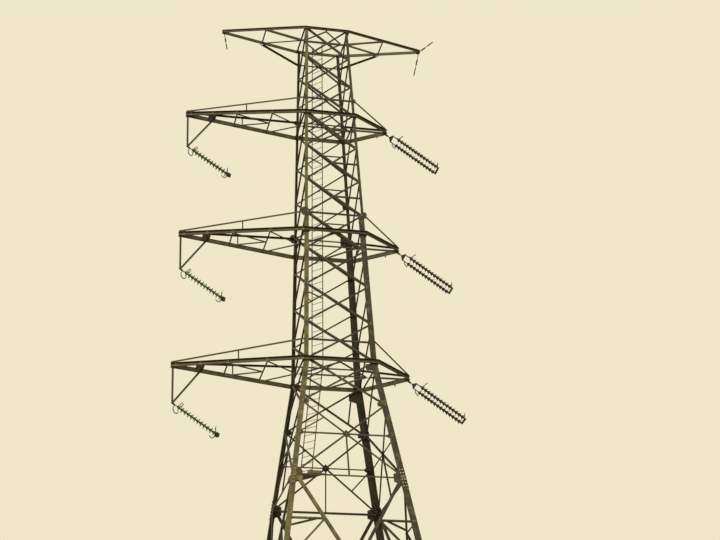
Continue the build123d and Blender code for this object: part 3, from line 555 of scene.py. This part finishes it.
# Bolts of the crossarms, as shares of the way to a tip: at the legs, where struts meet the chords and
# near the tips. Each place has four, at the corners of an upright rectangle.
armJoints = {-1: (0.0, 0.273, 0.57, 0.775, 0.96), 1: (0.0, 0.94)}
topJoints = {-1: (0.0, 0.474, 0.96), 1: (0.0, 0.474, 0.96)}
armBolting = {"halfHeight": 0.04, "halfWidth": 0.025, "pastLeg": 0.05}
armBolts = bmesh.new()
for arm, joints in (*[(arm, armJoints) for arm in arms.values()], (topArm, topJoints)):
    for hand, shares in joints.items():
        for back in (-1, 1):
            start, end = (chordPlace(arm, hand, back, share) for share in (0, 1))
            along = (end - start).normalized()
            outward = Vector((along.y, -along.x, 0))
            if outward.y * back < 0:
                outward = -outward
            turned = Matrix((along, outward.cross(along), outward)).transposed().to_4x4()
            for share in shares:
                spot = start + (end - start) * share + outward * chords["wall"]
                if share == 0:
                    spot += along * armBolting["pastLeg"]
                for up in (-armBolting["halfHeight"], armBolting["halfHeight"]):
                    for shift in (-armBolting["halfWidth"], armBolting["halfWidth"]):
                        place = spot + along * shift + Vector((0, 0, up))
                        addCopy(armBolts, flatBolt, Matrix.Translation(place) @ turned)
finishMesh("bolts_crossarms", armBolts, spunGalvanised, "tower")

# Earthing lugs under the back chords, near the right tips
lugs = {
    "upper": 0.77, "middle": 0.71, "lower": 0.70, "width": 0.055, "drop": 0.115, "wall": 0.01,
    "setIn": 0.02, "overlap": 0.004,
}
lugPlates = bmesh.new()
for armName, arm in arms.items():
    spot = chordPlace(arm, 1, 1, lugs[armName])
    centre = arm["level"] - arm["depth"] / 2 - lugs["drop"] / 2 + lugs["overlap"]
    place = Matrix.Translation((spot.x, spot.y - lugs["setIn"], centre)) @ lyingOnSide
    addPlate(lugPlates, place, lugs["width"], lugs["drop"], lugs["wall"], plates["thinBevel"])
finishMesh("earthing_lugs", lugPlates, legSteel, "tower")

# Toe boards along the two outer edges of the ladder's platform
platform = {
    "top": 9.9934, "wall": 0.03, "setIn": 0.029, "start": 0.55, "boardLength": 0.5, "boardHeight": 0.11,
    "boardWall": 0.005, "boardSetIn": 0.02,
}
edge = -halfWidth(platform["top"] - platform["wall"]) + platform["setIn"]
boardMiddle = edge + platform["start"] + platform["boardLength"] / 2
boardLine = edge + platform["boardSetIn"]
boards = bmesh.new()
for spot, turn in (((boardMiddle, boardLine), 0), ((boardLine, boardMiddle), 90)):
    place = Matrix.Translation((*spot, platform["top"] + platform["boardHeight"] / 2))
    turned = place @ Matrix.Rotation(math.radians(turn), 4, "Z") @ lyingOnSide
    addPlate(boards, turned, platform["boardLength"], platform["boardHeight"], platform["boardWall"],
             plates["thinBevel"])
finishMesh("toe_boards", boards, legSteel, "tower")
print("crossarms and platform dressed")

# Insulator strings: where each hangs, how it leans and what it carries. The porcelain discs are
# narrower than the glass ones, with heavier caps.
strings = {
    "left": {
        "lean": 55, "count": 12, "start": 0.25, "sides": (0.0,), "glass": greenGlass,
        "slot": "green_glass", "spread": 1.0, "core": 1.0, "pinSetIn": 0.077, "pinDrop": 1.545,
    },
    "right": {
        "lean": 54, "count": 14, "start": 0.56, "sides": (-0.23, 0.23), "glass": brownGlaze,
        "slot": "brown_glaze", "spread": 0.88, "core": 1.25, "pinSetIn": 0.038, "pinDrop": 0.125,
    },
}
disc = {"pitch": 0.146, "segments": 20, "capSegments": 12, "pinSegments": 8}

# Section of one disc, as (radius, distance from the string's top end) in metres: a shell with three
# ribs underneath, an iron cap over it and a pin with a ball below it
shellProfile = [
    (0.046, 0.052), (0.070, 0.056), (0.100, 0.064), (0.120, 0.074), (0.127, 0.082), (0.125, 0.088),
    (0.112, 0.084), (0.100, 0.080), (0.096, 0.092), (0.088, 0.079), (0.074, 0.076), (0.068, 0.090),
    (0.060, 0.075), (0.036, 0.073),
]
capProfile = [
    (0.001, 0.000), (0.030, 0.000), (0.044, 0.006), (0.050, 0.018), (0.053, 0.034), (0.058, 0.054),
    (0.042, 0.060), (0.014, 0.062),
]
pinProfile = [
    (0.040, 0.072), (0.034, 0.086), (0.029, 0.094), (0.029, 0.130), (0.032, 0.138), (0.026, 0.148),
]


def spunMesh(name, profile, segments):
    bm = bmesh.new()
    start = [bm.verts.new((radius, 0, along)) for radius, along in profile]
    edges = [bm.edges.new(pair) for pair in zip(start, start[1:])]
    bmesh.ops.spin(bm, geom=start + edges, cent=(0, 0, 0), axis=(0, 0, 1),
                   angle=2 * math.pi, steps=segments, use_merge=True)
    return toMesh(name, bm)


shellMesh = spunMesh("shell", shellProfile, disc["segments"])
capMesh = spunMesh("cap", capProfile, disc["capSegments"])
pinMesh = spunMesh("pin", pinProfile, disc["pinSegments"])


# Frame of a string: z along the string from its pin, x across it in the upright plane, y to the front
def stringPlace(pin, lean, along=0.0, side=0.0):
    s, c = math.sin(math.radians(lean)), math.cos(math.radians(lean))
    heading = Vector((s, 0, -c))
    across = Vector((c, 0, s))
    turned = Matrix((across, Vector((0, -1, 0)), heading)).transposed()
    return Matrix.Translation(pin + heading * along + Vector((0, side, 0))) @ turned.to_4x4()


def pinOf(arm, hand):  # the hinge pin that a string hangs from
    out = -1 if hand == "left" else 1
    reach = arm[hand] - strings[hand]["pinSetIn"]
    return Vector((out * reach, 0, arm["level"] - strings[hand]["pinDrop"]))


# Arcing horns as bent rods: the rod's radius, and points (across, to the front, along) in the string's
# frame, in metres. The loops are bent round, and the prongs have sharp corners.
horns = {
    "rod": 0.018, "rodRoundness": 1, "bendSteps": 3,
    "left": {
        "startLoop": [
            (-0.01, 0, 0.12), (-0.14, 0, 0.14), (-0.25, 0, 0.28), (-0.24, 0, 0.38), (-0.13, 0, 0.38),
        ],
        "startProng": [(0.02, 0, 0.24), (0.25, 0, 0.30), (0.21, 0, 0.36), (0.06, 0, 0.37)],
        "endLoop": [(-0.01, 0, 2.06), (-0.11, 0, 2.04), (-0.225, 0, 1.98), (-0.20, 0, 1.85)],
        "endProng": [(0.02, 0, 1.98), (0.29, 0, 1.82), (0.13, 0, 1.89)],
    },
    "right": {
        "frontProng": [(0.0, 0.23, 0.45), (0.06, 0.23, 0.58), (0.30, 0.23, 0.64)],
        "backProng": [(0.0, -0.23, 0.42), (-0.09, -0.23, 0.46), (-0.16, -0.23, 0.64)],
        "endProng": [(-0.02, 0.23, 2.60), (0.04, 0.24, 2.58), (0.19, 0.26, 2.50)],
    },
}


def addRod(bm, points, place, bend):  # round rod along bent points, its ends closed
    curve = bpy.data.curves.new("bentRod", "CURVE")
    curve.dimensions = "3D"
    curve.bevel_depth = horns["rod"]
    curve.bevel_resolution = horns["rodRoundness"]
    curve.resolution_u = horns["bendSteps"]
    curve.use_fill_caps = True
    spline = curve.splines.new("BEZIER")
    spline.bezier_points.add(len(points) - 1)
    for knot, point in zip(spline.bezier_points, points):
        knot.co = point
        knot.handle_left_type = knot.handle_right_type = bend
    holder = bpy.data.objects.new("bentRod", curve)
    scene.collection.objects.link(holder)
    bpy.context.view_layer.update()
    graph = bpy.context.evaluated_depsgraph_get()
    mesh = bpy.data.meshes.new_from_object(holder.evaluated_get(graph))
    addCopy(bm, mesh, place)
    bpy.data.objects.remove(holder)
    bpy.data.curves.remove(curve)
    bpy.data.meshes.remove(mesh)


# Yoke plate at the left strings' far end, above the clamp
endYoke = {"width": 0.20, "length": 0.15, "wall": 0.016, "place": 2.06}

# Each string: discs, their iron caps and pins, its horns and, on the left, the yoke plate
for armName, arm in arms.items():
    for hand, look in strings.items():
        pin = pinOf(arm, hand)
        body = f"string_{armName}_{hand}"
        wider, heavier = look["spread"], look["core"]
        shells, metal, rods = bmesh.new(), bmesh.new(), bmesh.new()
        for side in look["sides"]:
            for index in range(look["count"]):
                place = stringPlace(pin, look["lean"], look["start"] + index * disc["pitch"], side)
                addCopy(shells, shellMesh, place @ Matrix.Diagonal((wider, wider, 1, 1)))
                for part in (capMesh, pinMesh):
                    addCopy(metal, part, place @ Matrix.Diagonal((heavier, heavier, 1, 1)))
        piece = finishMesh(f"discs_{armName}_{hand}", shells, look["glass"], body, True)
        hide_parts(f"insulators_{armName}_{hand}")
        finishMesh(f"caps_{armName}_{hand}", metal, forgedSteel, body, True)
        frameOfString = stringPlace(pin, look["lean"])
        for horn, points in horns[hand].items():
            bend = "AUTO" if horn.endswith("Loop") else "VECTOR"
            addRod(rods, points, frameOfString, bend)
        finishMesh(f"horns_{armName}_{hand}", rods, forgedSteel, body, True)
        if hand == "left":  # the clamp hangs from a yoke plate across the string's end
            yoke = bmesh.new()
            middle = Matrix.Translation((0, endYoke["wall"] / 2, endYoke["place"]))
            addPlate(yoke, frameOfString @ middle @ lyingOnSide, endYoke["width"], endYoke["length"],
                     endYoke["wall"], plates["bevel"])
            finishMesh(f"end_yoke_{armName}_{hand}", yoke, forgedSteel, body)
print("insulators dressed")

# Camera at the photograph's viewpoint, worked out from the tower's joints
viewpoint = {
    "place": (-12.623, -55.355, -9.672), "yaw": 0.245464, "pitch": 0.472026, "roll": -0.0423324,
    "focalPixels": 1593.6, "imageWidth": 720, "sensorWidth": 36, "farthest": 500,
}


def addCamera(view):
    yaw, pitch, roll = view["yaw"], view["pitch"], view["roll"]
    forward = Vector((math.sin(yaw) * math.cos(pitch), math.cos(yaw) * math.cos(pitch), math.sin(pitch)))
    level = Vector((math.cos(yaw), -math.sin(yaw), 0))
    above = level.cross(forward)
    right = level * math.cos(roll) + above * math.sin(roll)
    up = above * math.cos(roll) - level * math.sin(roll)
    camera = bpy.data.objects.new("photoCamera", bpy.data.cameras.new("photoCamera"))
    camera.data.sensor_width = view["sensorWidth"]
    camera.data.lens = view["focalPixels"] * view["sensorWidth"] / view["imageWidth"]
    camera.data.clip_end = view["farthest"]
    turn = Matrix((right, up, -forward)).transposed()
    camera.matrix_world = Matrix.Translation(view["place"]) @ turn.to_4x4()
    scene.collection.objects.link(camera)
    scene.camera = camera


addCamera(viewpoint)

# Studio: a pale round floor, a plain pale world and one broad lamp
studio = {
    "floorRadius": 24, "floorSides": 128, "floor": "#d9d2bd", "floorRoughness": 0.9,
    "backdrop": "#efe7c8", "worldLight": "#fff6dc", "worldStrength": 0.36,
    "lampStrength": 3.2, "lampAngle": 14, "lampTurn": (48, 0, -38),
}


def addStudio(look):
    bm = bmesh.new()
    bmesh.ops.create_circle(bm, cap_ends=True, radius=look["floorRadius"], segments=look["floorSides"])
    mesh = bpy.data.meshes.new("studioFloor")
    bm.to_mesh(mesh)
    bm.free()
    floor = bpy.data.objects.new("studioFloor", mesh)
    scene.collection.objects.link(floor)
    paint = bpy.data.materials.new("paleFloorPaint")  # matt studio paint, even and pale
    paint.use_nodes = True
    shader = paint.node_tree.nodes["Principled BSDF"]
    shader.inputs["Base Color"].default_value = linear(look["floor"])
    shader.inputs["Roughness"].default_value = look["floorRoughness"]
    mesh.materials.append(paint)
    floor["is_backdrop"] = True
    lamp = bpy.data.objects.new("broadLamp", bpy.data.lights.new("broadLamp", "SUN"))
    lamp.data.energy = look["lampStrength"]
    lamp.data.angle = math.radians(look["lampAngle"])
    lamp.rotation_euler = [math.radians(a) for a in look["lampTurn"]]
    scene.collection.objects.link(lamp)
    world = bpy.data.worlds.new("paleWorld")
    world.use_nodes = True
    scene.world = world
    tree = world.node_tree
    light = tree.nodes["Background"]
    light.inputs["Color"].default_value = linear(look["worldLight"])
    light.inputs["Strength"].default_value = look["worldStrength"]
    backdrop = addNode(tree, "ShaderNodeBackground", inputs={
        "Color": linear(look["backdrop"]), "Strength": 1.0})
    path = addNode(tree, "ShaderNodeLightPath")
    mirrored = addNode(tree, "ShaderNodeMath", {"operation": "MAXIMUM"}, {
        0: path.outputs["Is Glossy Ray"], 1: path.outputs["Is Transmission Ray"]})
    seen = addNode(tree, "ShaderNodeMath", {"operation": "MAXIMUM"}, {
        0: path.outputs["Is Camera Ray"], 1: mirrored.outputs["Value"]})
    mixed = addNode(tree, "ShaderNodeMixShader", inputs={
        "Fac": seen.outputs["Value"], 1: light.outputs["Background"], 2: backdrop.outputs["Background"]})
    tree.links.new(mixed.outputs["Shader"], tree.nodes["World Output"].inputs["Surface"])
    scene.view_settings.view_transform = "Standard"


addStudio(studio)
print("camera and studio ready")

low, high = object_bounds()
